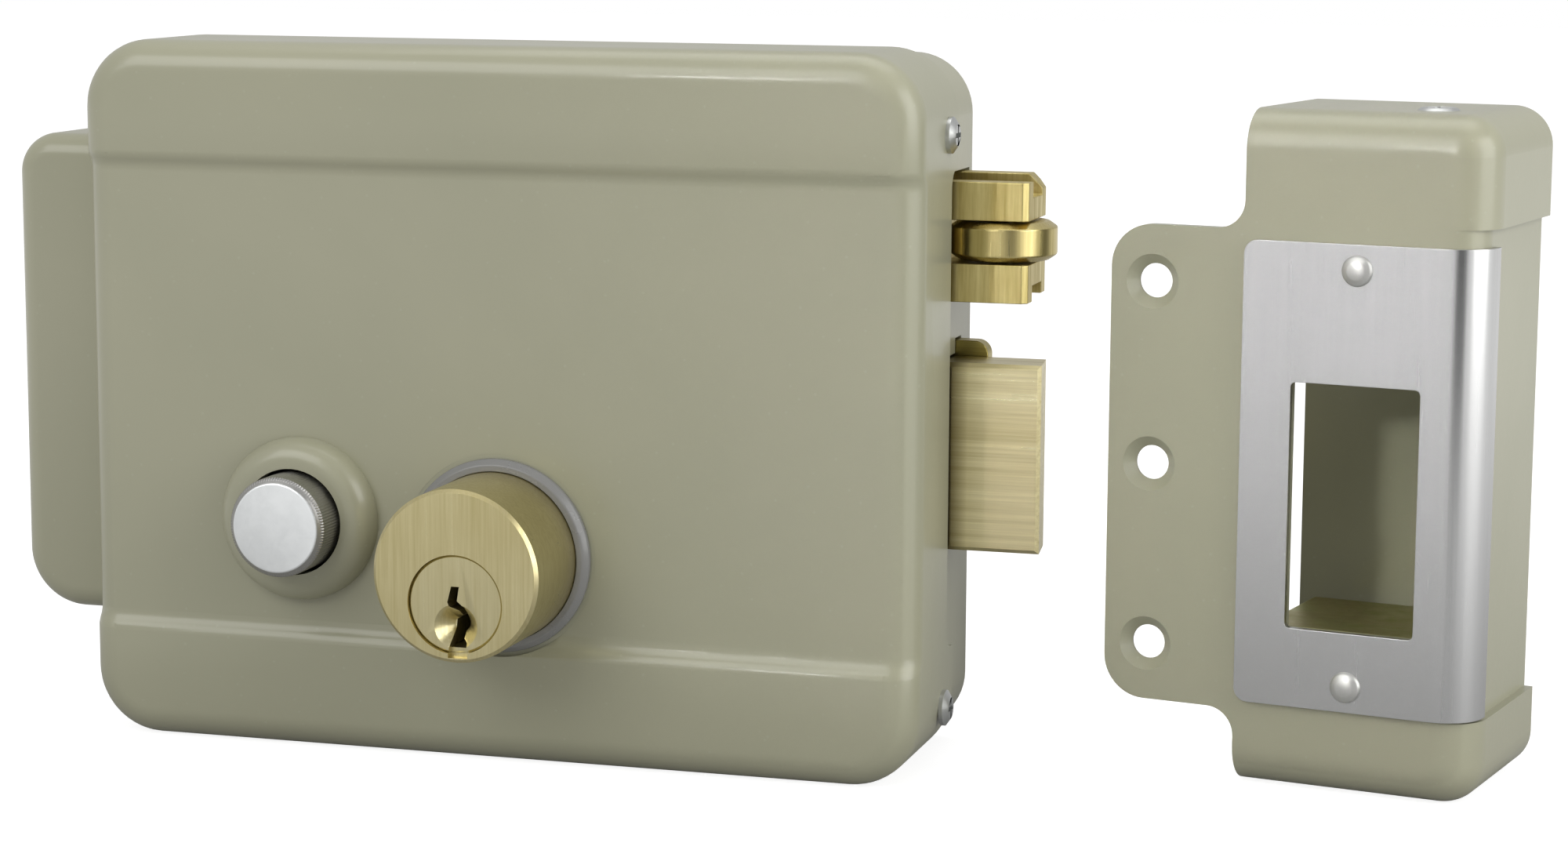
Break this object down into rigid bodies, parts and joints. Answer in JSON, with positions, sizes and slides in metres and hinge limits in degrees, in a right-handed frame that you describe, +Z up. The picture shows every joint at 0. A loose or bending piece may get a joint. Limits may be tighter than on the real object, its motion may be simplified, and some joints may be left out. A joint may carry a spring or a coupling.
{
  "type": "electromechanical lock",
  "caption": "Surface-mounted electric door lock with push button, key cylinder, roller latch and deadbolt, and its boxed keeper with a countersunk fixing flange.",
  "frame": {"origin": "axis of the key cylinder where it meets the door face, at the centre of the outer cylinder's hole", "axes": "+Z up, +X towards the bolts and the keeper, +Y towards the door"},
  "size_m": [0.2252, 0.0654, 0.1037],
  "materials": {
    "zinc_screw": "bright zinc",
    "zinc_steel": "zinc plated sheet",
    "spring_steel": "spring wire",
    "guide_plastic": "moulded",
    "bobbin_plastic": "moulded",
    "lead_sleeve": "soft sleeve",
    "coil_tape": "wrapped tape",
    "copper_winding": "lacquered wire under tape",
    "brass": "turned, satin",
    "collar_plastic": "translucent, polished",
    "brass_plug": "turned, satin",
    "brass_bolt": "drawn, satin",
    "case_paint": "fine textured semi-gloss enamel, olive grey",
    "dark_steel": "plain hardened steel",
    "rivet_steel": "bright",
    "stainless_plate": "grained stainless",
    "button_metal": "satin anodised"
  },
  "bodies": {
    "case": {"button_guide": "guide_plastic", "coil_bobbin": "bobbin_plastic", "coil_leads": "lead_sleeve", "coil_tape": "coil_tape", "coil_winding": "copper_winding", "cover_screws": "zinc_screw", "cylinder_body": "brass", "cylinder_carrier": "zinc_steel", "cylinder_collar": "collar_plastic", "cylinder_pins": "brass", "cylinder_screws": "zinc_screw", "front_cover": "case_paint", "guide_studs": "dark_steel", "keeper_bracket": "zinc_steel", "keeper_rivets": "rivet_steel", "keeper_screws": "zinc_screw", "keeper_shell": "case_paint", "keeper_wear_plate": "stainless_plate", "latch_strap": "zinc_steel", "pin_springs": "spring_steel", "rear_housing": "case_paint", "rocker_bracket": "zinc_steel", "side_extension": "case_paint", "solenoid_frame": "zinc_steel", "spring_seat": "zinc_steel", "terminal_block": "bobbin_plastic", "terminal_screws": "zinc_screw", "trigger_spring_seat": "zinc_steel"},
    "button": {"push_button": "button_metal", "button_clip": "spring_steel", "button_spring": "spring_steel"},
    "rocker": {"rocker": "zinc_steel"},
    "plunger": {"plunger": "dark_steel"},
    "latch": {"latch_fork": "brass_bolt", "latch_pull": "zinc_steel", "pull_rivets": "zinc_screw", "roller_pin": "dark_steel", "latch_spring": "spring_steel"},
    "roller": {"latch_roller": "brass_bolt"},
    "deadbolt": {"deadbolt": "brass_bolt", "bolt_tail": "zinc_steel", "bolt_rivets": "zinc_screw"},
    "plug": {"cylinder_plug": "brass_plug", "key_pins": "brass", "plug_pinion": "dark_steel", "plug_clip": "spring_steel"},
    "trigger": {"trigger_tongue": "brass_bolt", "trigger_spring": "spring_steel"}
  },
  "joints": [
    {"name": "button_press", "type": "slide", "parent": "case", "child": "button", "axis": [0, 1, 0], "range_m": [0, 0.005], "stiffness_N_per_m": 250, "springref_m": -0.002, "deforming": ["button_spring"]},
    {"name": "rocker_turn", "type": "hinge", "parent": "case", "child": "rocker", "pos_m": [-0.023, -0.013, 0], "axis": [0, 0, -1], "range_deg": [0, 38]},
    {"name": "latch_slide", "type": "slide", "parent": "case", "child": "latch", "axis": [-1, 0, 0], "range_m": [0, 0.011], "deforming": ["latch_spring"]},
    {"name": "plunger_pull", "type": "slide", "parent": "case", "child": "plunger", "axis": [-1, 0, 0], "range_m": [0, 0.0072]},
    {"name": "roller_spin", "type": "hinge", "parent": "latch", "child": "roller", "pos_m": [0.0678, -0.0097, 0.0454], "axis": [0, 0, 1], "continuous": true},
    {"name": "plug_turn", "type": "hinge", "parent": "case", "child": "plug", "pos_m": [0, 0, -0.004], "axis": [0, -1, 0], "range_deg": [0, 118.8]},
    {"name": "deadbolt_slide", "type": "slide", "parent": "case", "child": "deadbolt", "axis": [-1, 0, 0], "range_m": [0, 0.014]},
    {"name": "trigger_slide", "type": "slide", "parent": "case", "child": "trigger", "axis": [-1, 0, 0], "range_m": [0, 0.0035], "stiffness_N_per_m": 300, "springref_m": -0.002, "deforming": ["trigger_spring"]}
  ],
  "couplings": [
    {"joint": "rocker_turn", "follows": "button_press", "rad_per_m": 132.64},
    {"joint": "latch_slide", "follows": "button_press", "ratio": 2.1995},
    {"joint": "plunger_pull", "follows": "button_press", "ratio": 1.4395},
    {"joint": "plug_turn", "follows": "deadbolt_slide", "rad_per_m": 148.1}
  ]
}
